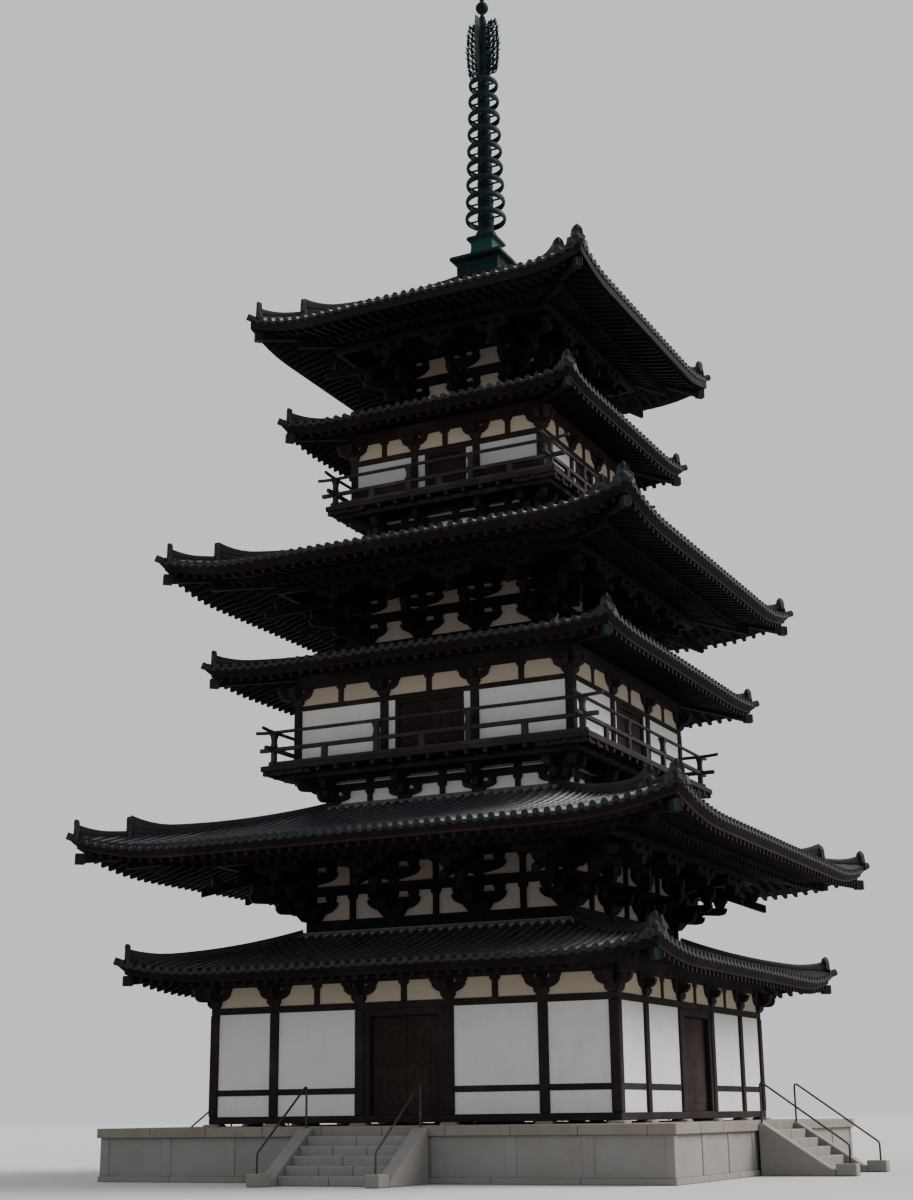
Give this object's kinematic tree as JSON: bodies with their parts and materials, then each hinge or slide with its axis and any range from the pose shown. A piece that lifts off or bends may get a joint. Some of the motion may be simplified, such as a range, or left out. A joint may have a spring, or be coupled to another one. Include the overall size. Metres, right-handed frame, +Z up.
{
  "type": "timber pagoda",
  "caption": "Square timber pagoda with pent roofs below its main tiled roofs, balconies, plank doors, a stone platform with stairs and a bronze finial.",
  "frame": {"origin": "centre of the platform's underside, at ground level", "axes": "+Z up; -Y is the front face, with its stair at the left of the picture; +X is the other face that it shows"},
  "size_m": [19, 19, 35.3],
  "materials": {
    "granite": "pale grey granite, split and dressed, weathered",
    "plaster": "matt white lime plaster",
    "dark_timber": "nearly black weathered timber",
    "door_timber": "dark brown planks",
    "roof_tile": "blue-grey fired clay tiles",
    "bronze": "bronze with a green patina"
  },
  "bodies": {
    "pagoda": {"platform": "granite", "stair_front": "granite", "stair_right": "granite", "stair_back": "granite", "stair_left": "granite", "ground_plaster_front": "plaster", "ground_frame_front": "dark_timber", "ground_plaster_right": "plaster", "ground_frame_right": "dark_timber", "ground_plaster_back": "plaster", "ground_frame_back": "dark_timber", "ground_plaster_left": "plaster", "ground_frame_left": "dark_timber", "storey_plaster_2": "plaster", "storey_frame_2": "dark_timber", "storey_plaster_3": "plaster", "storey_frame_3": "dark_timber", "core_plaster_1": "plaster", "core_frame_1": "dark_timber", "pent_roof_1": "roof_tile", "main_roof_1": "roof_tile", "core_plaster_2": "plaster", "core_frame_2": "dark_timber", "pent_roof_2": "roof_tile", "main_roof_2": "roof_tile", "core_plaster_3": "plaster", "core_frame_3": "dark_timber", "pent_roof_3": "roof_tile", "main_roof_3": "roof_tile", "balcony_frame_2": "dark_timber", "balcony_plaster_2": "plaster", "balcony_deck_2": "dark_timber", "balcony_railing_2": "dark_timber", "balcony_frame_3": "dark_timber", "balcony_plaster_3": "plaster", "balcony_deck_3": "dark_timber", "balcony_railing_3": "dark_timber", "heart_pillar": "dark_timber", "finial_basin": "bronze", "finial_rings": "bronze", "finial_flame": "bronze", "finial_jewel": "bronze"},
    "door_front_left_leaf": {"door_front_left": "door_timber"},
    "door_front_right_leaf": {"door_front_right": "door_timber"},
    "door_right_left_leaf": {"door_right_left": "door_timber"},
    "door_right_right_leaf": {"door_right_right": "door_timber"},
    "door_back_left_leaf": {"door_back_left": "door_timber"},
    "door_back_right_leaf": {"door_back_right": "door_timber"},
    "door_left_left_leaf": {"door_left_left": "door_timber"},
    "door_left_right_leaf": {"door_left_right": "door_timber"}
  },
  "joints": [
    {"name": "door_front_left_hinge", "type": "hinge", "parent": "pagoda", "child": "door_front_left_leaf", "pos_m": [-0.875, -5.21, 1.445], "axis": [0, 0, 1], "range_deg": [0, 90]},
    {"name": "door_front_right_hinge", "type": "hinge", "parent": "pagoda", "child": "door_front_right_leaf", "pos_m": [0.875, -5.21, 1.445], "axis": [0, 0, 1], "range_deg": [-90, 0]},
    {"name": "door_right_left_hinge", "type": "hinge", "parent": "pagoda", "child": "door_right_left_leaf", "pos_m": [5.21, -0.875, 1.445], "axis": [0, 0, 1], "range_deg": [0, 90]},
    {"name": "door_right_right_hinge", "type": "hinge", "parent": "pagoda", "child": "door_right_right_leaf", "pos_m": [5.21, 0.875, 1.445], "axis": [0, 0, 1], "range_deg": [-90, 0]},
    {"name": "door_back_left_hinge", "type": "hinge", "parent": "pagoda", "child": "door_back_left_leaf", "pos_m": [0.875, 5.21, 1.445], "axis": [0, 0, 1], "range_deg": [0, 90]},
    {"name": "door_back_right_hinge", "type": "hinge", "parent": "pagoda", "child": "door_back_right_leaf", "pos_m": [-0.875, 5.21, 1.445], "axis": [0, 0, 1], "range_deg": [-90, 0]},
    {"name": "door_left_left_hinge", "type": "hinge", "parent": "pagoda", "child": "door_left_left_leaf", "pos_m": [-5.21, 0.875, 1.445], "axis": [0, 0, 1], "range_deg": [0, 90]},
    {"name": "door_left_right_hinge", "type": "hinge", "parent": "pagoda", "child": "door_left_right_leaf", "pos_m": [-5.21, -0.875, 1.445], "axis": [0, 0, 1], "range_deg": [-90, 0]}
  ]
}
